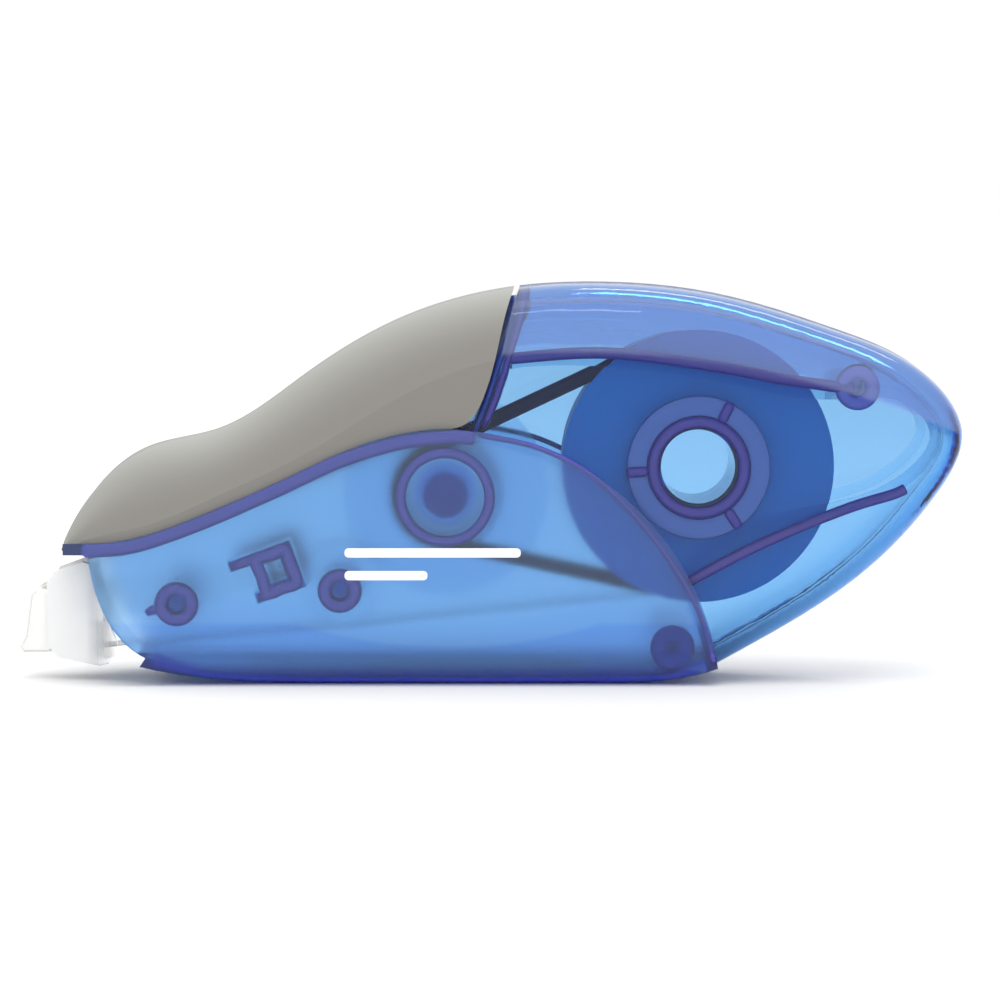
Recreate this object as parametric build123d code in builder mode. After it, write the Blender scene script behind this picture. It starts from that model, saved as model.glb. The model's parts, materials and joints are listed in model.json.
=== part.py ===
"""Correction tape roller: two snap-together shells, a soft grip, two belt-linked reels and a flexing applicator.

Units are millimetres. -X points to the applicator and +X to the rounded tail, +Y is the right-hand side
and +Z is up. The origin lies on the underside, below the middle of the whole length.
"""

import os
from math import acos, atan2, cos, hypot, radians, sin

from build123d import *

os.makedirs("parts", exist_ok=True)

# ---------------------------------------------------------------- driving sizes
WALL = 1.1  # shells
GRIP = 1.2  # thickness of the soft grip
GRIP_GAP = 0.03  # the grip stands this far off the shells under it
GRIP_WALL = 0.9  # shell wall under the grip
CROWN_HALF = 7.7  # half width of the tail, without its raised side panels
PANEL_HALF = 8.0  # half width over the raised side panels and over the grip
BELLY_HALF = 8.5  # half width of the frosted lower body
SEAM = 0.02  # the two shells stand this far off their shared middle plane
CLOSE = 0.03  # gap between pieces that touch

TAPE_HALF = 2.1  # half the tape's width
TAPE_THICK = 0.12
SUPPLY = (20.2, 21.2)  # X and Z of the reel axes
TAKEUP = (-4.3, 18.4)
DISC_R = 13.2
DISC_HOLE_R = 6.85
SUPPLY_FLANGE_R = 13.25
TAKEUP_FLANGE_R = 10.0
SUPPLY_BELT_R = 12.5  # middle of the belt on each pulley
TAKEUP_BELT_R = 4.6
BELT = 1.4  # radial thickness of the belt
BELT_SIDE = 0.1  # gap between the belt and each side of its grooves
GROOVE_LIP = 0.5  # the small pulley's outer flange stands this far above the belt
RUN = 0.1  # running clearance on the hubs
SUPPLY_HUB_R = 4.5
SUPPLY_HUB_BORE = 3.6
SUPPLY_RING_R = 5.0
SUPPLY_RING_BORE = 3.8
TAKEUP_HUB_R = 2.2
SLEEVE = 0.7  # wall of each pulley's sleeve
SPOOL_R = 7.0
SPOOL_BORE_R = 6.5  # the pocket in the spool for the clutch spring
SPRING_PLAY = 0.05
SPRING_GAP = (4.0, 1.2)  # box cut out of the spring to open it
CLUTCH_BACK = -1.6  # Y plane of the pocket's floor
RETAINER = 1.07  # radial width of the retaining ring
RETAINER_GAP = (5.0, 1.6)
LIGHTENING = (6, 9.0, 1.5)  # count, ring radius and radius of the holes in the pulley's flange
TAKEUP_CORE_R = 4.6
TAPE_ROLL_R = 12.2
LINER_ROLL_R = 5.6
RIB = 1.05
RIB_REACH = 7.0  # the three ribs round the supply hub end at this radius
RIB_TURN = 64  # degrees from +X to the first of them
TAKEUP_RING_R = 4.85
TAKEUP_RING_BORE = 3.75

# Y planes of the reel stack, from the left-hand wall to the right
LEFT_STOP = -5.35  # the left shell's rings end here
DISC_FRONT = -5.2
GROOVE_FRONT = -4.5
GROOVE_BACK = -3.0
FLANGE_BACK = -2.3
REAR_FLANGE = (2.3, 3.0)
SLEEVE_END = 3.35
RIGHT_STOP = 3.5  # the right shell's collars end here

POST_R = 2.15
PIN_R = 1.0
POST_BORE = 0.8
POST_HOLLOW = 6.4  # the posts' sockets and bores reach this far out
PIN_ROOT = 0.8  # the bores stop this far from the middle plane
FRONT_POST = (-30.3, 8.0)
FRONT_TAB = [(-30.2, 8.4), (-32.9, 7.7), (-33.4, 7.3), (-33.1, 6.8), (-30.2, 7.4)]  # tab on the front post
GUIDE_POST = (-14.5, 9.3)
BOTTOM_POST = (17.7, 3.8)
TAIL_POST = (35.5, 28.9)
PIN_LENGTH = 3.0
EYE_R = 3.2  # eyes of the applicator's frame on the front post
ROLLER_R = 4.0
ROLLER_HALF = 2.25

BRACKET = (-20.7, 11.2)  # middle of the rib frame that holds the applicator's tail
BRACKET_TILT = 20.0
BRACKET_GAP = 0.3
BRACKET_BODY = (4.2, 4.8)  # size of the frame, along and across
BRACKET_WINDOW = (1.7, 2.0)
BRACKET_HOOK = 1.05  # thickness of the two hooks
BRACKET_SHIFT = 0.2  # the frame's middle is this far behind its window's
UPPER_HOOK = 4.1  # how far ahead of the window's middle each hook reaches
LOWER_HOOK = 2.7
FORK = (2.6, 3.5)  # Y range of each cheek and arm of the applicator's frame
BLADE_HALF = 2.35
FLEX = (-39.2, 6.6)  # axis the applicator blade flexes about

# ---------------------------------------------------------------- body outlines
# RIDGE is the rounded upper body's outline on the middle plane, from the nose over the tail to the belly,
# and SIDE the outline of its flat sides, point for point.
RIDGE = [(-41.6, 13.3), (-39.9, 17.0), (-33.4, 22.9), (-27.0, 24.5), (-18.5, 29.7), (-8.0, 35.8), (2.0, 38.5),
         (10.7, 39.0), (22.4, 37.8), (34.1, 34.3), (42.4, 30.2), (46.1, 24.3), (43.6, 18.2), (34.1, 8.5), (22.4, 1.5)]
SIDE = [(-41.3, 13.2), (-39.9, 13.9), (-33.4, 15.6), (-27.0, 18.2), (-18.5, 22.2), (-8.0, 28.4), (1.0, 31.7),
        (10.5, 32.1), (22.0, 30.7), (33.5, 28.9), (40.9, 28.2), (43.6, 24.5), (41.0, 20.1), (31.6, 16.4), (19.4, 10.9)]
# Each section of the crown: its share of the half width, and how far its outline is from RIDGE to SIDE.
CROWN = [(0.0, 0.0), (0.5, 0.04), (0.82, 0.22), (0.96, 0.58), (1.0, 1.0)]

RIM = [(-39.6, 13.9), (-34.4, 14.4), (-27.7, 16.7), (-20.1, 20.0), (-14.3, 22.7), (-8.6, 24.5), (-3.8, 25.0)]
LIP_NOSE = -41.2  # front end of the ledge under the grip's nose
GRIP_REAR = [(-3.8, 25.0), (-1.3, 25.9), (-0.1, 28.0), (1.0, 31.5), (3.4, 39.5)]
GRIP_SLIT = 0.5  # the grip ends this far short of the tail
TAIL_ARC = [(-1.0, 24.7), (14.1, 17.4), (22.1, 1.7)]  # where the frosted body steps up from the tail
HEEL = [(22.1, 1.7), (17.7, 0.5), (13.5, 0.1), (9.0, 0.0)]  # from the step down to the flat keel
TOE = [(-12.0, 0.0), (-20.0, 0.1), (-27.0, 0.6), (-33.9, 1.9)]  # from the flat keel to the nozzle
MOUTH = [(-33.3, 2.8), (-36.4, 5.6), (-38.0, 9.0), (-38.8, 12.8)]  # the edge that the applicator leaves by
LIP_UNDER = 12.8
MOUTH_HALF = 7.1
OPENING = [(-45.0, 11.7), (-37.0, 12.6), (-30.0, 12.6), (-30.0, 3.3), (-45.0, 3.3)]  # room for the applicator
NOSE_SOLID = -37.5  # the grip's seat is solid in front of this
BELLY_CORNER = 4.0  # rounding of the keel's long edges

FAR = 60.0  # beyond the whole body


def lerp(a, b, share):
    """The point that share of the way from a to b."""
    return tuple(p + (q - p) * share for p, q in zip(a, b))


def moved_in(points, distance):
    """An open clockwise outline with each point moved inwards, square to its neighbours."""
    moved = []
    for i, (x, z) in enumerate(points):
        before = points[max(i - 1, 0)]
        after = points[min(i + 1, len(points) - 1)]
        along = (after[0] - before[0], after[1] - before[1])
        length = hypot(*along)
        moved.append((x + along[1] / length * distance, z - along[0] / length * distance))
    return moved


def crown(half_width, inset):
    """The rounded upper body, lofted from the ridge to one flat side and mirrored."""
    ridge = moved_in(RIDGE, inset)
    side = moved_in(SIDE, inset)
    with BuildPart() as body:
        for share, blend in CROWN:
            outline = [lerp(a, b, blend) for a, b in zip(ridge, side)]
            with BuildSketch(Plane.XZ.offset(-share * (half_width - inset))):
                with BuildLine():
                    Spline(*outline)
                    Line(outline[-1], outline[0])
                make_face()
        loft()
        mirror(about=Plane.XZ)
    return body.part


def slab(outline, y_low, y_high):
    """An XZ outline made solid between two Y planes."""
    with BuildPart() as block:
        with BuildSketch(Plane.XZ.offset(-y_high)):
            add(outline)
        extrude(amount=y_high - y_low)
    return block.part


def join(first, second):
    """A straight edge, left out where the two ends meet."""
    if hypot(second[0] - first[0], second[1] - first[1]) > 0.001:
        Line(first, second)


def grip_zone(rear_gap=0.0):
    """The XZ outline of what the grip covers; rear_gap leaves a slit between it and the tail."""
    rear = [GRIP_REAR[0]] + [(x - rear_gap, z) for x, z in GRIP_REAR[1:]]
    with BuildSketch() as zone:
        with BuildLine():
            Line((-FAR, RIM[0][1]), RIM[0])
            Spline(*RIM)
            Spline(*rear)
            Polyline(rear[-1], (rear[-1][0], FAR), (-FAR, FAR), (-FAR, RIM[0][1]))
        make_face()
    return zone.sketch


def ahead_of_tail():
    """The XZ outline of everything in front of the tail's hollow."""
    rear = moved_in(GRIP_REAR, WALL)
    with BuildSketch() as zone:
        with BuildLine():
            Spline(*rear)
            Polyline(rear[-1], (rear[-1][0], FAR), (-FAR, FAR), (-FAR, 0), (rear[0][0], 0), rear[0])
        make_face()
    return zone.sketch


def belly_outline(inset):
    """The XZ outline of the frosted lower body, or of the hollow inside it."""
    parts = (RIM, TAIL_ARC[:-1], HEEL, TOE, MOUTH)
    outline = moved_in([point for part in parts for point in part], inset)
    rim, arc, heel, toe, mouth = ([outline.pop(0) for point in part] for part in parts)
    if inset:
        rim = rim[1:]
    with BuildSketch() as belly:
        with BuildLine():
            Spline(*rim)
            join(rim[-1], arc[0])
            ThreePointArc(*arc, heel[0])
            Spline(*heel)
            Line(heel[-1], toe[0])
            Spline(*toe)
            Line(toe[-1], mouth[0])
            Spline(*mouth)
            if inset:
                Line(mouth[-1], rim[0])
            else:
                Polyline(mouth[-1], (LIP_NOSE, LIP_UNDER), (LIP_NOSE, rim[0][1]), rim[0])
        make_face()
    return belly.sketch


def belly_trough(inset):
    """A long bar with the belly's cross-section, wide enough above for everything else."""
    half = BELLY_HALF - inset
    with BuildPart() as bar:
        with BuildSketch(Plane.YZ.offset(-FAR)):
            with Locations((0, FAR / 2 + inset)):
                RectangleRounded(2 * half, FAR, BELLY_CORNER - inset)
        extrude(amount=2 * FAR)
    return bar.part


def panel_outline(inset):
    """The XZ outline of the flat sides, or of the hollow behind them."""
    outline = moved_in(SIDE, inset)
    with BuildSketch() as panel:
        with BuildLine():
            Spline(*outline)
            Line(outline[-1], outline[0])
        make_face()
    return panel.sketch


def body_outside():
    """Both shells as one solid block, with the grip's seat sunk into it."""
    zone = slab(grip_zone(), -FAR, FAR)
    tail = (crown(CROWN_HALF, 0) + slab(panel_outline(0), -PANEL_HALF, PANEL_HALF)) - zone
    seat = crown(PANEL_HALF, GRIP + GRIP_GAP) & zone
    belly = slab(belly_outline(0), -BELLY_HALF, BELLY_HALF) & belly_trough(0)
    return tail + seat + belly


def hollowed(block):
    """The block without the space inside the shells, which opens at the nozzle."""
    nose = plate([(-FAR, 0), (NOSE_SOLID, 0), (NOSE_SOLID, FAR), (-FAR, FAR)], -FAR, FAR)
    panel = slab(panel_outline(WALL), WALL - PANEL_HALF, PANEL_HALF - WALL)
    tail = (crown(CROWN_HALF, WALL) + panel) - slab(ahead_of_tail(), -FAR, FAR)
    seat = crown(PANEL_HALF, GRIP + GRIP_GAP + GRIP_WALL) - nose
    belly = slab(belly_outline(WALL), WALL - BELLY_HALF, BELLY_HALF - WALL) & belly_trough(WALL)
    shell = block - tail - seat - belly - plate(OPENING, -MOUTH_HALF, MOUTH_HALF)
    return shell.solids().sort_by(SortBy.VOLUME)[-1]


# ---------------------------------------------------------------- building blocks
def across(y):
    """The XZ sketch plane at this Y; an extrusion from it runs towards -Y."""
    return Plane.XZ.offset(-y)


def tube(centre, radius, bore, y_low, y_high):
    """A ring or disc about an axis along Y."""
    with BuildPart() as piece:
        with BuildSketch(across(y_high)):
            with Locations(centre):
                Circle(radius)
                if bore:
                    Circle(bore, mode=Mode.SUBTRACT)
        extrude(amount=y_high - y_low)
    return piece.part


def plate(points, y_low, y_high):
    """A polygon in XZ made solid between two Y planes."""
    with BuildPart() as piece:
        with BuildSketch(across(y_high)):
            Polygon(*points, align=None)
        extrude(amount=y_high - y_low)
    return piece.part


def tangent(first, first_r, second, second_r, turn):
    """The two ends of the straight line that touches two circles; turn +1 keeps left of the way, -1 right."""
    dx = second[0] - first[0]
    dz = second[1] - first[1]
    angle = atan2(dz, dx) + turn * acos((first_r - second_r) / hypot(dx, dz))
    return [(c[0] + r * cos(angle), c[1] + r * sin(angle)) for c, r in ((first, first_r), (second, second_r))]


def ribbon(path):
    """Tape along a path, laid on its outer side."""
    outer = moved_in(path, -TAPE_THICK)
    return plate(path + outer[::-1], -TAPE_HALF, TAPE_HALF)


def bracket_ribs(y_low, y_high):
    """The tilted, windowed frame of ribs with two hooks that the applicator's tail sits behind."""
    plane = Plane(origin=(BRACKET[0], y_high, BRACKET[1]), x_dir=(cos(radians(BRACKET_TILT)), 0,
                  sin(radians(BRACKET_TILT))), z_dir=(0, -1, 0))
    with BuildPart() as piece:
        with BuildSketch(plane):
            with Locations((BRACKET_SHIFT, 0)):
                Rectangle(*BRACKET_BODY)
            with Locations((0, BRACKET_BODY[1] / 2)):
                Rectangle(UPPER_HOOK, BRACKET_HOOK, align=Align.MAX)
            with Locations((0, -BRACKET_BODY[1] / 2)):
                Rectangle(LOWER_HOOK, BRACKET_HOOK, align=(Align.MAX, Align.MIN))
            Rectangle(*BRACKET_WINDOW, mode=Mode.SUBTRACT)
        extrude(amount=y_high - y_low)
    return piece.part


def hub_ribs(y_low, y_high):
    """The three short ribs round the supply hub."""
    with BuildPart() as piece:
        with BuildSketch(across(y_high)):
            with Locations(SUPPLY):
                with PolarLocations(0, 3, start_angle=RIB_TURN):
                    Rectangle(RIB_REACH, RIB, align=(Align.MIN, Align.CENTER))
                Circle(SUPPLY_RING_BORE, mode=Mode.SUBTRACT)
        extrude(amount=y_high - y_low)
    return piece.part


# ---------------------------------------------------------------- the two shells
with BuildSketch() as everything:
    Rectangle(3 * FAR, 3 * FAR)
right_side = slab(everything.sketch, -SEAM, FAR)
left_side = slab(everything.sketch, -FAR, SEAM)
outside = body_outside()
shell = hollowed(outside)

snap_posts = (FRONT_POST, GUIDE_POST, BOTTOM_POST, TAIL_POST)

left_inner = tube(SUPPLY, SUPPLY_RING_R, SUPPLY_RING_BORE, -FAR, LEFT_STOP)
left_inner += tube(TAKEUP, TAKEUP_RING_R, TAKEUP_RING_BORE, -FAR, LEFT_STOP)
left_inner += hub_ribs(-FAR, LEFT_STOP)
left_inner += bracket_ribs(-FAR, -FORK[1] - BRACKET_GAP)
left_inner += plate(FRONT_TAB, -FAR, -FORK[1] - BRACKET_GAP)
for post in snap_posts:
    left_inner += tube(post, POST_R, 0, -FAR, -SEAM)
left_solid = (shell - right_side) + (left_inner & outside)
for post in snap_posts:
    left_solid -= tube(post, PIN_R + CLOSE, 0, -PIN_LENGTH - RUN, 0)
    left_solid -= tube(post, POST_BORE, 0, -POST_HOLLOW, 0)
with BuildPart() as left_case:
    add(left_solid)
left_case.part.label = "left_case"

right_inner = tube(SUPPLY, SUPPLY_HUB_R + SLEEVE, 0, RIGHT_STOP, FAR)
right_inner += tube(SUPPLY, SUPPLY_HUB_R, 0, LEFT_STOP + SEAM, FAR)
right_inner += tube(TAKEUP, TAKEUP_HUB_R + SLEEVE, 0, RIGHT_STOP, FAR)
right_inner += tube(TAKEUP, TAKEUP_HUB_R, 0, LEFT_STOP + SEAM, FAR)
right_inner += bracket_ribs(FORK[1] + BRACKET_GAP, FAR)
for post in snap_posts:
    right_inner += tube(post, POST_R, 0, SEAM, FAR)
    right_inner += tube(post, PIN_R, 0, -PIN_LENGTH, FAR)
right_solid = (shell - left_side) + (right_inner & outside)
right_solid -= tube(SUPPLY, SUPPLY_HUB_BORE, 0, -FAR, PANEL_HALF - WALL)
for post in snap_posts:
    right_solid -= tube(post, POST_BORE, 0, PIN_ROOT, POST_HOLLOW)
with BuildPart() as right_case:
    add(right_solid)
right_case.part.label = "right_case"

# ---------------------------------------------------------------- the soft grip
grip_block = crown(PANEL_HALF, 0) - crown(PANEL_HALF, GRIP)
with BuildPart() as grip:
    add(grip_block & slab(grip_zone(GRIP_SLIT), -FAR, FAR))
grip.part.label = "grip"

# ---------------------------------------------------------------- the supply reel
SLEEVE_R = SUPPLY_HUB_R + RUN + SLEEVE
with BuildPart() as supply_disc:
    add(tube(SUPPLY, DISC_R, DISC_HOLE_R, DISC_FRONT, GROOVE_FRONT - CLOSE))
supply_disc.part.label = "supply_disc"

with BuildPart() as supply_pulley:
    add(tube(SUPPLY, SLEEVE_R, SUPPLY_HUB_R + RUN, DISC_FRONT, SLEEVE_END))
    add(tube(SUPPLY, SUPPLY_FLANGE_R, SUPPLY_HUB_R + RUN, GROOVE_BACK, FLANGE_BACK))
    add(tube(SUPPLY, SUPPLY_BELT_R - BELT / 2 - CLOSE, SUPPLY_BELT_R - BELT / 2 - WALL, GROOVE_FRONT, GROOVE_BACK))
    with BuildSketch(across(FLANGE_BACK)):
        with Locations(SUPPLY):
            with PolarLocations(LIGHTENING[1], LIGHTENING[0]):
                Circle(LIGHTENING[2])
    extrude(amount=FLANGE_BACK - GROOVE_BACK, mode=Mode.SUBTRACT)
supply_pulley.part.label = "supply_pulley"

with BuildPart() as supply_spool:
    add(tube(SUPPLY, SPOOL_R, SLEEVE_R + RUN, FLANGE_BACK + CLOSE, REAR_FLANGE[1]))
    add(tube(SUPPLY, DISC_R, SLEEVE_R + RUN, *REAR_FLANGE))
    add(tube(SUPPLY, SPOOL_BORE_R, 0, -FAR, CLUTCH_BACK), mode=Mode.SUBTRACT)
supply_spool.part.label = "supply_spool"

with BuildPart() as clutch_spring:
    add(tube(SUPPLY, SPOOL_BORE_R - SPRING_PLAY, SLEEVE_R + RUN, FLANGE_BACK + CLOSE, CLUTCH_BACK - CLOSE))
    with BuildSketch(across(0)):
        with Locations((SUPPLY[0] + SPOOL_R, SUPPLY[1])):
            Rectangle(*SPRING_GAP)
    extrude(amount=FAR, mode=Mode.SUBTRACT)
clutch_spring.part.label = "clutch_spring"

with BuildPart() as retaining_ring:
    add(tube(SUPPLY, SLEEVE_R + CLOSE + RETAINER, SLEEVE_R + CLOSE, REAR_FLANGE[1] + CLOSE, SLEEVE_END))
    with BuildSketch(across(FAR)):
        with Locations((SUPPLY[0] - SPOOL_R, SUPPLY[1])):
            Rectangle(*RETAINER_GAP)
    extrude(amount=FAR, mode=Mode.SUBTRACT)
retaining_ring.part.label = "retaining_ring"

with BuildPart() as tape_roll:
    add(tube(SUPPLY, TAPE_ROLL_R, SPOOL_R + CLOSE, -TAPE_HALF, TAPE_HALF))
tape_roll.part.label = "tape_roll"

# ---------------------------------------------------------------- the take-up reel and the belt
TAKEUP_SLEEVE_R = TAKEUP_HUB_R + RUN + SLEEVE
with BuildPart() as takeup_pulley:
    add(tube(TAKEUP, TAKEUP_SLEEVE_R, TAKEUP_HUB_R + RUN, DISC_FRONT, SLEEVE_END))
    add(tube(TAKEUP, TAKEUP_BELT_R + BELT / 2 + GROOVE_LIP, TAKEUP_HUB_R + RUN, DISC_FRONT, GROOVE_FRONT - CLOSE))
    add(tube(TAKEUP, TAKEUP_BELT_R - BELT / 2 - CLOSE, TAKEUP_HUB_R + RUN, DISC_FRONT, GROOVE_BACK))
    add(tube(TAKEUP, TAKEUP_FLANGE_R, TAKEUP_HUB_R + RUN, GROOVE_BACK, FLANGE_BACK))
takeup_pulley.part.label = "takeup_pulley"

with BuildPart() as takeup_core:
    add(tube(TAKEUP, TAKEUP_CORE_R, TAKEUP_SLEEVE_R + CLOSE, FLANGE_BACK + CLOSE, REAR_FLANGE[1]))
    add(tube(TAKEUP, TAKEUP_FLANGE_R, TAKEUP_SLEEVE_R + CLOSE, *REAR_FLANGE))
takeup_core.part.label = "takeup_core"

with BuildPart() as liner_roll:
    add(tube(TAKEUP, LINER_ROLL_R, TAKEUP_CORE_R + CLOSE, -TAPE_HALF, TAPE_HALF))
liner_roll.part.label = "liner_roll"

BELT_FRONT = GROOVE_FRONT + BELT_SIDE
BELT_BACK = GROOVE_BACK - BELT_SIDE
with BuildPart() as drive_belt:
    for swell, mode in ((BELT / 2, Mode.ADD), (-BELT / 2, Mode.SUBTRACT)):
        with BuildSketch(across(BELT_BACK)):
            with Locations(SUPPLY):
                Circle(SUPPLY_BELT_R + swell)
            with Locations(TAKEUP):
                Circle(TAKEUP_BELT_R + swell)
            make_hull()
        extrude(amount=BELT_BACK - BELT_FRONT, mode=mode)
drive_belt.part.label = "drive_belt"

# ---------------------------------------------------------------- the roller that holds the tape down
with BuildPart() as guide_roller:
    add(tube(GUIDE_POST, ROLLER_R, POST_R + RUN, -ROLLER_HALF, ROLLER_HALF))
guide_roller.part.label = "guide_roller"

# ---------------------------------------------------------------- the applicator
CHEEK = [(-38.9, 11.4), (-39.8, 11.7), (-42.6, 10.7), (-43.3, 9.6), (-43.2, 3.5), (-42.3, 2.3), (-38.2, 1.5),
         (-37.3, 1.7), (-36.4, 3.6), (-37.6, 6.6)]
ARM = [(-38.6, 6.3), (-32.0, 6.9), (-27.5, 7.4), (-22.4, 9.6), (-20.2, 10.4), (-21.0, 12.4), (-23.4, 11.7),
       (-27.8, 10.3), (-32.0, 9.9), (-38.6, 9.4)]
TAIL = [(-24.6, 9.4), (-20.4, 10.9), (-21.0, 12.2), (-25.1, 10.7)]
CROSSBAR = [(-39.9, 5.4), (-38.0, 5.4), (-37.6, 8.4), (-39.4, 8.4)]
with BuildPart() as applicator_frame:
    for low, high in ((-FORK[1], -FORK[0]), FORK):
        add(plate(CHEEK, low, high))
        add(plate(ARM, low, high))
        add(tube(FRONT_POST, EYE_R, 0, low, high))
    add(plate(TAIL, -FORK[1], FORK[1]))
    add(plate(CROSSBAR, -FORK[1], FORK[1]))
    add(tube(FRONT_POST, POST_R + RUN, 0, -FAR, FAR), mode=Mode.SUBTRACT)
applicator_frame.part.label = "applicator_frame"

BLADE = [(-40.1, 5.6), (-40.1, 8.2), (-41.4, 8.5), (-44.0, 9.0), (-44.8, 8.2), (-45.3, 4.3), (-45.9, 3.2),
         (-45.7, 2.9), (-43.2, 2.9), (-42.8, 4.1), (-41.6, 5.4)]
with BuildPart() as applicator_blade:
    add(plate(BLADE, -BLADE_HALF, BLADE_HALF))
applicator_blade.part.label = "applicator_blade"

# ---------------------------------------------------------------- the tape between the reels
STANDOFF = 0.05  # the tape runs this far off what it passes
LIP = (-43.2, 2.9 - STANDOFF)
CHIN = (-44.1, 9.0 + STANDOFF)
FEED_SPLIT = -39.0
TIP_SPLIT = -39.4


def at_x(first, second, x):
    """The point at this X on the line through two points."""
    return lerp(first, second, (x - first[0]) / (second[0] - first[0]))


guide_in = tangent(SUPPLY, TAPE_ROLL_R + STANDOFF, GUIDE_POST, ROLLER_R + STANDOFF, 1)
guide_out = tangent(GUIDE_POST, ROLLER_R + STANDOFF, LIP, 0, 1)
home = tangent(CHIN, 0, TAKEUP, LINER_ROLL_R + STANDOFF, 1)

with BuildPart() as feed_tape:
    add(ribbon(guide_in + [guide_out[0], at_x(*guide_out, FEED_SPLIT)]))
feed_tape.part.label = "feed_tape"

with BuildPart() as tip_tape:
    add(ribbon([at_x(*guide_out, TIP_SPLIT), LIP, (-45.8, 2.8), (-46.0, 3.2), (-45.4, 4.3), (-44.9, 8.3), CHIN,
                at_x(*home, TIP_SPLIT)]))
tip_tape.part.label = "tip_tape"

with BuildPart() as return_liner:
    add(ribbon([at_x(*home, FEED_SPLIT), home[1]]))
return_liner.part.label = "return_liner"

PIECES = (left_case, right_case, grip, guide_roller, supply_disc, supply_pulley, supply_spool, clutch_spring,
          retaining_ring, tape_roll, takeup_pulley, takeup_core, liner_roll, drive_belt, applicator_frame,
          applicator_blade, feed_tape, tip_tape, return_liner)
for piece in PIECES:
    export_step(piece.part, f"parts/{piece.part.label}.step")
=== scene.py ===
"""The correction tape roller in a pale studio: clear, frosted, soft and satin plastics on its frame."""

import json
import math

import bmesh
import bpy
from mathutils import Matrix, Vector


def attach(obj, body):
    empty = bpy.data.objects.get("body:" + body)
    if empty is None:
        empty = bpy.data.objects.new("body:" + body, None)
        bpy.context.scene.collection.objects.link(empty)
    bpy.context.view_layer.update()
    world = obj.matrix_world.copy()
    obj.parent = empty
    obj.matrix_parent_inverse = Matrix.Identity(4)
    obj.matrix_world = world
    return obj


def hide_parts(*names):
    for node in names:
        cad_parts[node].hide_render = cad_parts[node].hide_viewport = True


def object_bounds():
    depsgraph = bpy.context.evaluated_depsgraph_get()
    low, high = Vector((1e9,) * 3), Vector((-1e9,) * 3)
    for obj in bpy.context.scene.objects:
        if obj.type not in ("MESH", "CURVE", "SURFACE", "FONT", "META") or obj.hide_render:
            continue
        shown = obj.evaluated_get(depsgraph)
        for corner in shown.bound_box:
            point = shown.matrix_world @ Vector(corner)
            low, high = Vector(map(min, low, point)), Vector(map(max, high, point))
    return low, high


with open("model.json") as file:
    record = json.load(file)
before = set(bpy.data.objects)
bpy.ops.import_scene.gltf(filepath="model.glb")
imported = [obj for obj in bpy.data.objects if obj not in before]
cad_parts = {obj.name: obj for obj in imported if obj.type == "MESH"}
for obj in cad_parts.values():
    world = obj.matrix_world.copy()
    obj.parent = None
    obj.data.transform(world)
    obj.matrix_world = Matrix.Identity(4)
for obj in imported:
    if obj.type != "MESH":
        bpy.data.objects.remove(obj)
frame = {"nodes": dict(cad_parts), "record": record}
CAD_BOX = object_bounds()
nodes = frame["nodes"]

MM = 0.001


# ---------------------------------------------------------------- materials
def srgb(r, g, b):
    """A colour given as 0 to 255 screen values, as linear light."""
    channels = [c / 255 for c in (r, g, b)]
    linear = [c / 12.92 if c <= 0.04045 else ((c + 0.055) / 1.055) ** 2.4 for c in channels]
    return (*linear, 1.0)


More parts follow.
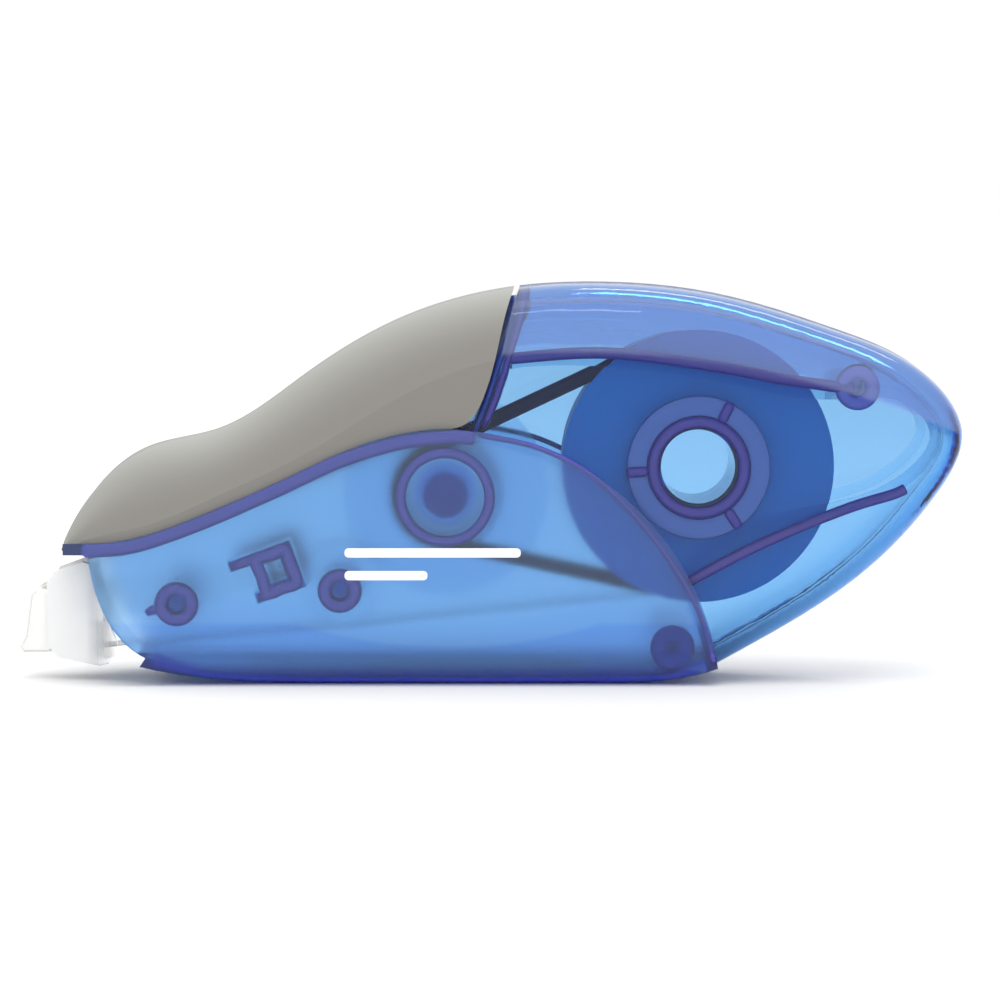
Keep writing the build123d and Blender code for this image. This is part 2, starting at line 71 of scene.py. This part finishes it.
class Nodes:
    """A material's node tree with short calls to add and join nodes."""

    def __init__(self, name):
        self.material = bpy.data.materials.new(name)
        self.material.use_nodes = True
        self.tree = self.material.node_tree
        self.tree.nodes.clear()
        self.output = self.add("ShaderNodeOutputMaterial")

    def add(self, kind, **values):
        node = self.tree.nodes.new(kind)
        for key, value in values.items():
            if hasattr(node, key):
                setattr(node, key, value)
            else:
                node.inputs[key.replace("_", " ")].default_value = value
        return node

    def join(self, source, target):
        self.tree.links.new(source, target)

    def principled(self, colour, roughness, **values):
        shader = self.add("ShaderNodeBsdfPrincipled")
        shader.inputs["Base Color"].default_value = colour
        shader.inputs["Roughness"].default_value = roughness
        for key, value in values.items():
            shader.inputs[key.replace("_", " ")].default_value = value
        self.join(shader.outputs[0], self.output.inputs["Surface"])
        return shader

    def noise(self, scale, detail=2.0, roughness=0.5):
        place = self.add("ShaderNodeTexCoord")
        texture = self.add("ShaderNodeTexNoise", Scale=scale, Detail=detail, Roughness=roughness)
        self.join(place.outputs["Object"], texture.inputs["Vector"])
        return texture.outputs["Fac"]

    def ranged(self, source, low, high):
        span = self.add("ShaderNodeMapRange")
        span.inputs["To Min"].default_value = low
        span.inputs["To Max"].default_value = high
        self.join(source, span.inputs["Value"])
        return span.outputs["Result"]

    def math(self, operation, *values):
        node = self.add("ShaderNodeMath", operation=operation)
        for socket, value in zip(node.inputs, values):
            if isinstance(value, float):
                socket.default_value = value
            else:
                self.join(value, socket)
        return node.outputs[0]

    def clamped(self, value):
        return self.math("MINIMUM", self.math("MAXIMUM", value, 0.0), 1.0)

    def satin_grain(self, shader, roughness, patches):
        """Slightly uneven roughness and a fine grain, as on moulded plastic."""
        uneven = self.ranged(self.noise(patches, 3.0), roughness - 0.06, roughness + 0.08)
        self.join(uneven, shader.inputs["Roughness"])
        self.bump(self.noise(2500, 2.0), shader, 0.06, 0.0001)

    def mixed(self, share, first, second):
        """A colour that goes from first to second as share goes from 0 to 1."""
        node = self.add("ShaderNodeMix", data_type="RGBA")
        self.join(share, node.inputs[0])
        for socket, colour in ((node.inputs[6], first), (node.inputs[7], second)):
            if isinstance(colour, tuple):
                socket.default_value = colour
            else:
                self.join(colour, socket)
        return node.outputs[2]

    def bump(self, height, shader, strength, distance):
        bump = self.add("ShaderNodeBump", Strength=strength, Distance=distance)
        self.join(height, bump.inputs["Height"])
        self.join(bump.outputs["Normal"], shader.inputs["Normal"])

    def absorb(self, colour, density):
        volume = self.add("ShaderNodeVolumeAbsorption")
        volume.inputs["Color"].default_value = colour
        volume.inputs["Density"].default_value = density
        self.join(volume.outputs[0], self.output.inputs["Volume"])


# What a metre of the blue plastic takes out of red, green and blue light is DENSITY times (1 - tint).
SHELL_TINT = (0.06, 0.545, 0.85, 1.0)
SHELL_DENSITY = 760.0
POLISH = 0.03
FROST = 0.44
FROST_HAZE = 0.06
# The lower body's long edges are rounded about a line this far out and up, with the skin this far off.
CORNER_SIDE = 4.5 * MM
CORNER_UP = 4.0 * MM
CORNER_SKIN = 3.7 * MM
# A faint crease runs along the lower body's side, at CREASE_LOW plus CREASE_CURVE times the distance
# from CREASE_X squared.
CREASE_X = -4.0 * MM
CREASE_LOW = 4.1 * MM
CREASE_HIGH = 6.4 * MM
CREASE_CURVE = 10.8
CREASE_SOFT = 0.5 * MM
# Painted reflection: the tail's upper bevels get this share of a pale diffuse tone in place of a softbox's
# reflection; its flat sides have none.
BEVEL_PAINTED_SHEEN = 0.15
BEVEL_SHEEN_TONE = srgb(206, 226, 255)
# The bevel's edge is at BEVEL_EDGE less BEVEL_CURVE times the distance from BEVEL_X squared.
BEVEL_X = 8.5 * MM
BEVEL_EDGE = 32.2 * MM
BEVEL_CURVE = 5.8
BEVEL_SOFT = 0.5 * MM
# X range over which the applicator's plastic goes from milky to clear.
CLEAR_FROM = -39.5 * MM
CLEAR_TO = -37.0 * MM


def object_place(m):
    """The X, Y and Z sockets of a point in the row frame."""
    place = m.add("ShaderNodeSeparateXYZ")
    m.join(m.add("ShaderNodeTexCoord").outputs["Object"], place.inputs[0])
    return place.outputs


def frosting(m, place):
    """1 on the textured outer faces of the lower body, and 0 on everything else."""
    side = m.math("ABSOLUTE", place["Y"])
    out = m.math("MAXIMUM", m.math("SUBTRACT", side, CORNER_SIDE), 0.0)
    down = m.math("MAXIMUM", m.math("SUBTRACT", CORNER_UP, place["Z"]), 0.0)
    reach = m.math("SQRT", m.math("ADD", m.math("MULTIPLY", out, out), m.math("MULTIPLY", down, down)))
    return m.math("GREATER_THAN", reach, CORNER_SKIN)


def bevel_sheen_area(m, place):
    """Where the painted reflection goes: 0 on the tail's flat sides and the lower body, rising to 1 just
    above the bevel's edge.
    """
    away = m.math("SUBTRACT", place["X"], BEVEL_X)
    fall = m.math("MULTIPLY", m.math("MULTIPLY", away, away), BEVEL_CURVE)
    edge = m.math("SUBTRACT", BEVEL_EDGE, fall)
    above = m.clamped(m.math("DIVIDE", m.math("SUBTRACT", place["Z"], edge), BEVEL_SOFT))
    return m.math("MULTIPLY", above, m.math("GREATER_THAN", place["X"], 0.0))


def below_crease(m, place):
    """0 above the crease line of the lower body's side, rising to 1 just below it."""
    away = m.math("SUBTRACT", place["X"], CREASE_X)
    rise = m.math("MULTIPLY", m.math("MULTIPLY", away, away), CREASE_CURVE)
    line = m.math("MINIMUM", m.math("ADD", rise, CREASE_LOW), CREASE_HIGH)
    return m.clamped(m.math("DIVIDE", m.math("SUBTRACT", line, place["Z"]), CREASE_SOFT))


def shell_plastic():
    """Transparent blue plastic, polished and in part frosted, tinted by its depth, with a painted
    reflection on the tail's upper bevels.
    """
    m = Nodes("clear_blue")
    shader = m.principled((1, 1, 1, 1), POLISH, IOR=1.38)
    place = object_place(m)
    frosted = frosting(m, place)
    m.join(m.ranged(frosted, POLISH, FROST), shader.inputs["Roughness"])
    # The bevels' pale band is painted reflection. It takes some of the transmission away, and the frosted
    # faces' real haze does the same.
    painted_bevel_sheen = bevel_sheen_area(m, place)
    haze_and_sheen_share = m.math("ADD", m.math("MULTIPLY", painted_bevel_sheen, BEVEL_PAINTED_SHEEN),
                        m.math("MULTIPLY", frosted, FROST_HAZE))
    m.join(m.math("SUBTRACT", 1.0, haze_and_sheen_share), shader.inputs["Transmission Weight"])
    haze = m.mixed(below_crease(m, place), srgb(200, 226, 250), srgb(172, 204, 250))
    # Painted reflection: white on the flat sides, the pale sheen tone on the bevels.
    clear = m.mixed(painted_bevel_sheen, (1, 1, 1, 1), BEVEL_SHEEN_TONE)
    m.join(m.mixed(frosted, clear, haze), shader.inputs["Base Color"])
    grain = m.math("MULTIPLY", m.noise(2600, 2.0), frosted)
    m.bump(grain, shader, 0.15, 0.0001)
    m.absorb(SHELL_TINT, SHELL_DENSITY)
    return m.material


def satin_plastic(name, colour, roughness=0.35, specular=0.5):
    """Solid satin plastic, rubber, metal or ink."""
    m = Nodes(name)
    shader = m.principled(colour, roughness, IOR=1.5, Specular_IOR_Level=specular)
    m.satin_grain(shader, roughness, 300)
    return m.material


def milky_plastic(name, colour, clarity, roughness=0.45):
    """Natural plastic that lets soft light through."""
    m = Nodes(name)
    shader = m.principled(colour, roughness, IOR=1.3, Transmission_Weight=clarity)
    m.satin_grain(shader, roughness, 400)
    return m.material


def thin_tape(name, colour, clarity):
    """White coated tape, thin enough for some light to come through."""
    m = Nodes(name)
    shader = m.principled(colour, 0.5, Specular_IOR_Level=0.2)
    m.satin_grain(shader, 0.5, 300)
    glow = m.add("ShaderNodeBsdfTranslucent", Color=colour)
    both = m.add("ShaderNodeMixShader", Fac=clarity)
    m.join(shader.outputs[0], both.inputs[1])
    m.join(glow.outputs[0], both.inputs[2])
    m.join(both.outputs[0], m.output.inputs["Surface"])
    return m.material


def applicator_plastic():
    """Natural plastic, milky at the nozzle and clearer further in."""
    m = Nodes("natural_white")
    shader = m.principled(srgb(251, 251, 250), 0.4, IOR=1.3)
    inward = m.add("ShaderNodeMapRange")
    inward.inputs["From Min"].default_value = CLEAR_FROM
    inward.inputs["From Max"].default_value = CLEAR_TO
    m.join(object_place(m)["X"], inward.inputs["Value"])
    m.join(m.ranged(inward.outputs["Result"], 0.15, 1.0), shader.inputs["Transmission Weight"])
    m.join(m.ranged(inward.outputs["Result"], 0.42, 0.10), shader.inputs["Roughness"])
    m.bump(m.noise(2500, 2.0), shader, 0.06, 0.0001)
    return m.material


def soft_grip():
    """Matt elastomer, paler where it faces up and darker on its flanks: painted light and shade."""
    m = Nodes("soft_grip")
    shader = m.principled(srgb(160, 158, 153), 0.62, IOR=1.45)
    facing = m.add("ShaderNodeSeparateXYZ")
    m.join(m.add("ShaderNodeTexCoord").outputs["Normal"], facing.inputs[0])
    # Painted light and shade: the colour is paler where the face points up and darker where it turns to the
    # side.
    painted_top_light = m.clamped(m.math("MULTIPLY_ADD", facing.outputs["Z"], 0.7, 0.3))
    m.join(m.mixed(painted_top_light, srgb(108, 102, 96), srgb(164, 165, 160)), shader.inputs["Base Color"])
    m.bump(m.noise(6000, 2.0), shader, 0.12, 0.00008)
    return m.material


CLEAR = shell_plastic()
GRIP = soft_grip()
BLUE = satin_plastic("mid_blue", srgb(0, 142, 222), specular=0.3)
PALE = satin_plastic("pale_blue", srgb(214, 228, 252))
MILKY_BLUE = milky_plastic("milky_blue", srgb(236, 244, 252), 1.0, 0.12)
BELT = satin_plastic("belt_rubber", srgb(0, 4, 66), 0.6, specular=0.1)
WHITE = applicator_plastic()
CLEAR_ROLLER = milky_plastic("milky_roller", srgb(240, 246, 252), 1.0, 0.12)
STEEL = satin_plastic("spring_steel", srgb(150, 152, 156), 0.3)
TAPE = thin_tape("tape_white", srgb(246, 245, 243), 0.7)
LINER = milky_plastic("liner_pale", srgb(240, 244, 250), 0.9, 0.2)
INDIGO = satin_plastic("edge_indigo", srgb(82, 66, 172), 0.3)
LIGHT_INDIGO = satin_plastic("edge_light_indigo", srgb(128, 118, 214), 0.3)
# A paler copy of the indigo for the keel: painted light that offsets the floor's shadow there.
KEEL_LIT_INDIGO = satin_plastic("edge_keel_lit_indigo", srgb(104, 92, 250), 0.3)
DEEP_BLUE = satin_plastic("edge_deep_blue", srgb(66, 96, 196), 0.3)
BOSS = milky_plastic("boss_lavender", srgb(176, 186, 250), 0.35, 0.2)
PRINT_WHITE = satin_plastic("print_white", srgb(252, 252, 252), 0.45)

SLOT_LOOKS = {"clear_plastic": CLEAR, "soft_grip": GRIP, "blue_plastic": BLUE, "pale_plastic": PALE,
              "navy_rubber": BELT, "white_plastic": WHITE, "spring_steel": STEEL, "tape_paper": TAPE,
              "liner_paper": LINER}
NODE_LOOKS = {"takeup_pulley": MILKY_BLUE, "takeup_core": MILKY_BLUE, "guide_roller": CLEAR_ROLLER,
              "feed_tape": LINER}
for row in frame["record"]["subparts"]:
    mesh = nodes[row["node"]].data
    mesh.materials.clear()
    mesh.materials.append(NODE_LOOKS.get(row["node"], SLOT_LOOKS[row["material_slot"]]))


# ---------------------------------------------------------------- shapes
def smooth_path(points, closed=False, steps=8):
    """Points along a curve through the given XZ points."""
    count = len(points)
    path = []
    for i in range(count if closed else count - 1):
        if closed:
            a, b, c, d = (points[(i + k) % count] for k in (-1, 0, 1, 2))
        else:
            a, b, c, d = (points[min(max(i + k, 0), count - 1)] for k in (-1, 0, 1, 2))
        for step in range(steps):
            t = step / steps
            path.append(tuple(0.5 * (2 * b[j] + (c[j] - a[j]) * t
                                     + (2 * a[j] - 5 * b[j] + 4 * c[j] - d[j]) * t * t
                                     + (3 * b[j] - a[j] - 3 * c[j] + d[j]) * t ** 3) for j in (0, 1)))
    if not closed:
        path.append(tuple(points[-1]))
    return path


def piece(name, bm, material, body="shell", smooth=True):
    """Makes an object of the bmesh, in millimetres, and lets it ride on a body."""
    bmesh.ops.recalc_face_normals(bm, faces=bm.faces)
    bmesh.ops.scale(bm, vec=(MM, MM, MM), verts=bm.verts)
    mesh = bpy.data.meshes.new(name)
    bm.to_mesh(mesh)
    bm.free()
    mesh.materials.append(material)
    for face in mesh.polygons:
        face.use_smooth = smooth
    obj = bpy.data.objects.new(name, mesh)
    bpy.context.scene.collection.objects.link(obj)
    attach(obj, body)
    return obj


def sweep(bm, path, half_across, half_deep, y, closed=False, around=12):
    """Adds a rounded bar along an XZ path at this Y."""
    points = [Vector((x, y, z)) for x, z in path]
    rod(bm, points, half_across, half_deep, Vector((0, 1, 0)), closed, around)


def rod(bm, path, half_across, half_deep, deep, closed=False, around=12):
    """Adds a rounded bar along a path in space; deep is the direction that half_deep is measured in."""
    count = len(path)
    rings = []
    for i, middle in enumerate(path):
        before = path[i - 1] if closed or i else path[0]
        after = path[(i + 1) % count] if closed or i < count - 1 else path[-1]
        along = (after - before).normalized()
        second = (deep - along * deep.dot(along)).normalized()
        first = along.cross(second)
        taper = 1.0 if closed else min(1.0, 0.65 + 0.35 * min(i, count - 1 - i))
        rings.append([bm.verts.new(middle + first * half_across * taper * math.cos(2 * math.pi * k / around)
                                   + second * half_deep * taper * math.sin(2 * math.pi * k / around))
                      for k in range(around)])
    for i in range(count if closed else count - 1):
        first, second = rings[i], rings[(i + 1) % count]
        for k in range(around):
            bm.faces.new((first[k], first[(k + 1) % around], second[(k + 1) % around], second[k]))
    if not closed:
        bm.faces.new(rings[0])
        bm.faces.new(rings[-1])


def circle(centre, radius, steps=64):
    turns = [2 * math.pi * k / steps for k in range(steps)]
    return [(centre[0] + radius * math.cos(t), centre[1] + radius * math.sin(t)) for t in turns]


def turned(points, centre, degrees):
    """Points given round the origin, turned and moved to a centre."""
    c, s = math.cos(math.radians(degrees)), math.sin(math.radians(degrees))
    return [(centre[0] + x * c - z * s, centre[1] + x * s + z * c) for x, z in points]


# ---------------------------------------------------------------- thick plastic, seen edge-on
# XZ places in millimetres, as in the shells.
PANEL_TOP = [(1.6, 31.7), (8.2, 32.25), (12.8, 32.2), (17.4, 31.65), (23.5, 30.7), (28.1, 29.8),
             (32.9, 29.1), (35.2, 28.8)]
PANEL_BOTTOM = [(19.0, 10.0), (24.8, 13.1), (30.0, 15.45), (35.1, 17.45), (38.9, 18.6), (40.2, 19.2)]
SEAM_ARC = [(-1.0, 24.4), (4.3, 23.3), (9.3, 20.9), (13.5, 17.2), (17.2, 12.6), (20.1, 7.6), (21.7, 2.4)]
RIM_LINE = [(-39.4, 13.2), (-34.5, 13.6), (-28.0, 15.8), (-20.4, 19.1), (-14.6, 21.8), (-8.8, 23.6),
            (-3.8, 24.2), (-1.4, 24.1)]
TAIL_FRONT = [(-0.7, 24.8), (0.3, 27.0), (1.25, 29.7), (1.75, 31.6), (3.0, 35.8), (3.8, 39.0)]
# The tail's half section at its front: Y, and Z of its middle below the skin.
TAIL_SECTION = [(7.25, 25.1), (7.25, 26.1), (7.25, 28.2), (7.2, 30.3), (7.1, 32.2), (6.85, 34.2),
                (6.1, 36.2), (4.6, 37.3), (3.0, 37.8), (1.5, 38.0), (0.0, 38.05)]
KEEL = [(-33.0, 2.7), (-27.0, 1.25), (-20.0, 0.72), (-12.0, 0.62), (9.0, 0.62), (13.5, 0.72),
        (17.7, 1.15), (21.2, 2.1)]
SUPPLY = (20.2, 21.2)
TAKEUP = (-4.3, 18.4)
BELLY_POSTS = [(-30.3, 8.0), (-14.5, 9.3)]
BOTTOM_POST = (17.7, 3.8)
TAIL_POST = (35.5, 28.9)
BRACKET = (-20.7, 11.2)
BRACKET_TILT = 20.0
BRACKET_FRAME = [(-1.37, 1.7), (0.1, 1.72), (1.57, 1.7), (1.6, 0), (1.57, -1.7), (0.1, -1.72),
                 (-1.37, -1.7), (-1.4, 0)]
BRACKET_HOOKS = ([(-3.9, 1.87), (-2.6, 1.87), (-1.0, 1.87)], [(-2.5, -1.87), (-1.6, -1.87), (-1.0, -1.87)])
PANEL_WALL = 7.35  # Y of the middle of each wall
BELLY_WALL = 8.12


def front_x(z):
    """X of the middle of the tail's front wall at this height."""
    for (x_low, z_low), (x_high, z_high) in zip(TAIL_FRONT, TAIL_FRONT[1:]):
        if z <= z_high:
            return x_low + (x_high - x_low) * (z - z_low) / (z_high - z_low)
    return TAIL_FRONT[-1][0]


def edge_lines():
    """Indigo cores inside both shells' walls, where the plastic is thick along the view across."""
    bm = bmesh.new()
    sweep(bm, smooth_path(PANEL_TOP), 0.56, 0.33, -PANEL_WALL + 0.25)
    sweep(bm, smooth_path(PANEL_BOTTOM), 0.52, 0.33, -PANEL_WALL + 0.25)
    piece("left_panel_edges", bm, INDIGO)
    for name, shift, sunk, half_wide, material in (("tail_front_edge", 0.0, 0.0, 0.46, INDIGO),
                                                   ("grip_seat_edge", -1.05, 0.75, 0.66, DEEP_BLUE)):
        section = [(front_x(z) + shift, -y + sunk, z - sunk) for y, z in TAIL_SECTION]
        section += [(x, -y, z) for x, y, z in reversed(section[:-1])]
        bm = bmesh.new()
        rod(bm, [Vector(point) for point in section], half_wide, 0.36, Vector((0, 0, 1)))
        piece(name, bm, material)
    for side, word in ((-1, "left"), (1, "right")):
        bm = bmesh.new()
        sweep(bm, smooth_path(SEAM_ARC), 0.26, 0.35, side * BELLY_WALL)
        piece(f"{word}_seam_edge", bm, INDIGO)
        bm = bmesh.new()
        sweep(bm, smooth_path(RIM_LINE), 0.66, 0.36, side * BELLY_WALL)
        piece(f"{word}_rim_edge", bm, INDIGO)
        bm = bmesh.new()
        # The keel core takes the paler indigo, painted light against the floor's shadow.
        sweep(bm, smooth_path(KEEL), 0.42, 0.9, side * 5.4)
        piece(f"{word}_keel_edge", bm, KEEL_LIT_INDIGO)


def hub_marks():
    """Indigo cores of the rings, ribs, posts and bracket that stand on the walls' inner faces."""
    for side, word in ((-1, "left"), (1, "right")):
        bm = bmesh.new()
        sweep(bm, circle(SUPPLY, 4.4), 0.55, 0.3, side * PANEL_WALL, closed=True)
        if side < 0:
            for turn in (64, 184, 304):
                spoke = turned([(4.9 + 0.35 * k, 0) for k in range(7)], (0, 0), turn)
                sweep(bm, [(SUPPLY[0] + x, SUPPLY[1] + z) for x, z in spoke], 0.5, 0.3, side * PANEL_WALL)
        piece(f"{word}_hub_ring", bm, INDIGO)
        bm = bmesh.new()
        sweep(bm, circle(TAKEUP, 4.3), 0.5, 0.3, side * BELLY_WALL, closed=True)
        piece(f"{word}_takeup_ring", bm, INDIGO)
        bm = bmesh.new()
        for post in BELLY_POSTS:
            sweep(bm, circle(post, 1.5, 32), 0.6, 0.3, side * BELLY_WALL, closed=True)
        sweep(bm, circle(BOTTOM_POST, 1.3, 32), 0.8, 0.3, side * 7.0, closed=True)
        sweep(bm, [(-32.0, 7.65), (-32.6, 7.5), (-33.2, 7.2)], 0.42, 0.3, side * BELLY_WALL)
        piece(f"{word}_post_rings", bm, INDIGO)
        bm = bmesh.new()
        sweep(bm, circle(TAIL_POST, 1.5, 32), 0.65, 0.25, side * (PANEL_WALL - 0.25), closed=True)
        piece(f"{word}_tail_post_ring", bm, LIGHT_INDIGO)
        if side < 0:
            bm = bmesh.new()
            sweep(bm, circle(SUPPLY, 5.95), 0.98, 0.12, side * (PANEL_WALL - 0.25), closed=True)
            piece("left_hub_boss", bm, BOSS)
        bm = bmesh.new()
        around_window = smooth_path(turned(BRACKET_FRAME, BRACKET, BRACKET_TILT), closed=True)
        sweep(bm, around_window, 0.6, 0.3, side * BELLY_WALL, closed=True)
        for hook in BRACKET_HOOKS:
            sweep(bm, turned(hook, BRACKET, BRACKET_TILT), 0.5, 0.3, side * BELLY_WALL)
        piece(f"{word}_bracket_core", bm, INDIGO)


# ---------------------------------------------------------------- prints
PRINT_FACE = -8.515  # Y of the ink, just proud of the lower body's skin
INK = 0.003  # its thickness


def rounded_box(x_low, x_high, z_low, z_high, radius, steps=8):
    """A rectangle's outline with round corners."""
    outline = []
    corners = ((x_high - radius, z_high - radius, 0), (x_low + radius, z_high - radius, 90),
               (x_low + radius, z_low + radius, 180), (x_high - radius, z_low + radius, 270))
    for x, z, start in corners:
        for step in range(steps + 1):
            turn = math.radians(start + 90 * step / steps)
            outline.append((x + radius * math.cos(turn), z + radius * math.sin(turn)))
    return outline


def ink(bm, outline):
    """Adds one thin flat area of ink."""
    front = [bm.verts.new((x, PRINT_FACE, z)) for x, z in outline]
    back = [bm.verts.new((x, PRINT_FACE + INK, z)) for x, z in outline]
    bm.faces.new(front)
    bm.faces.new(back[::-1])
    for i in range(len(outline)):
        j = (i + 1) % len(outline)
        bm.faces.new((front[i], back[i], back[j], front[j]))


def prints():
    """Two plain white stripes on the near side, a long one above a short one."""
    bm = bmesh.new()
    ink(bm, rounded_box(-14.0, 3.0, 12.6, 13.5, 0.4))
    ink(bm, rounded_box(-14.0, -6.0, 10.4, 11.3, 0.4))
    piece("print_white_stripes", bm, PRINT_WHITE, smooth=False)


def tip_ribbon():
    """The tape round the blade's tip, in flat faces so that its edges stay crisp."""
    mesh = nodes["tip_tape"].data.copy()
    bm = bmesh.new()
    bm.from_mesh(mesh)
    bmesh.ops.scale(bm, vec=(1 / MM, 1 / MM, 1 / MM), verts=bm.verts)
    ribbon = piece("tip_ribbon", bm, TAPE, body="applicator", smooth=False)
    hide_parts("tip_tape")


edge_lines()
hub_marks()
prints()
tip_ribbon()


# ---------------------------------------------------------------- studio
ROOM_LIGHT = 1.03
AIM = Vector((1.0, 0, 17.5)) * MM
CAMERA_TILT = 4.5
CAMERA_AWAY = 0.410
GLASS_BOUNCES = 32  # enough for light to get through both shells and out again
DIFFUSE_BOUNCES = 12


def area_light(name, place, aim, size, power):
    data = bpy.data.lights.new(name, "AREA")
    data.shape = "RECTANGLE"
    data.size, data.size_y = size
    data.energy = power
    light = bpy.data.objects.new(name, data)
    bpy.context.scene.collection.objects.link(light)
    light.location = place
    light.rotation_euler = (Vector(aim) - Vector(place)).to_track_quat("-Z", "Y").to_euler()


def studio():
    floor_height = CAD_BOX[0][2]
    world = bpy.data.worlds.new("studio")
    bpy.context.scene.world = world
    world.use_nodes = True
    world.node_tree.nodes["Background"].inputs["Color"].default_value = (1, 1, 1, 1)
    world.node_tree.nodes["Background"].inputs["Strength"].default_value = ROOM_LIGHT
    bpy.ops.mesh.primitive_plane_add(size=30.0, location=(0, 0, floor_height))
    floor = bpy.context.object
    floor.name = "floor"
    m = Nodes("floor_white")
    m.principled((0.98, 0.98, 0.98, 1), 0.8)
    floor.data.materials.append(m.material)
    area_light("overhead", (0, -0.12, 0.45), (0, 0, 0.02), (0.45, 0.20), 0.55)
    area_light("key", (-0.10, -0.35, 0.42), (0, 0, 0.02), (0.35, 0.03), 0.25)
    area_light("rim", (0.15, 0.30, 0.45), (0, 0, 0.02), (0.30, 0.05), 0.30)


def camera():
    data = bpy.data.cameras.new("photo_camera")
    data.lens = 150
    data.sensor_width = 36
    cam = bpy.data.objects.new("photo_camera", data)
    bpy.context.scene.collection.objects.link(cam)
    tilt = math.radians(CAMERA_TILT)
    cam.location = AIM + Vector((0, -math.cos(tilt), math.sin(tilt))) * CAMERA_AWAY
    cam.rotation_euler = (math.radians(90) - tilt, 0, 0)
    data.clip_start = 0.01
    bpy.context.scene.camera = cam


studio()
camera()
cycles = bpy.context.scene.cycles
cycles.max_bounces = GLASS_BOUNCES
cycles.transmission_bounces = GLASS_BOUNCES
cycles.glossy_bounces = GLASS_BOUNCES
cycles.diffuse_bounces = DIFFUSE_BOUNCES
cycles.transparent_max_bounces = GLASS_BOUNCES
bpy.context.scene.view_settings.view_transform = "Standard"
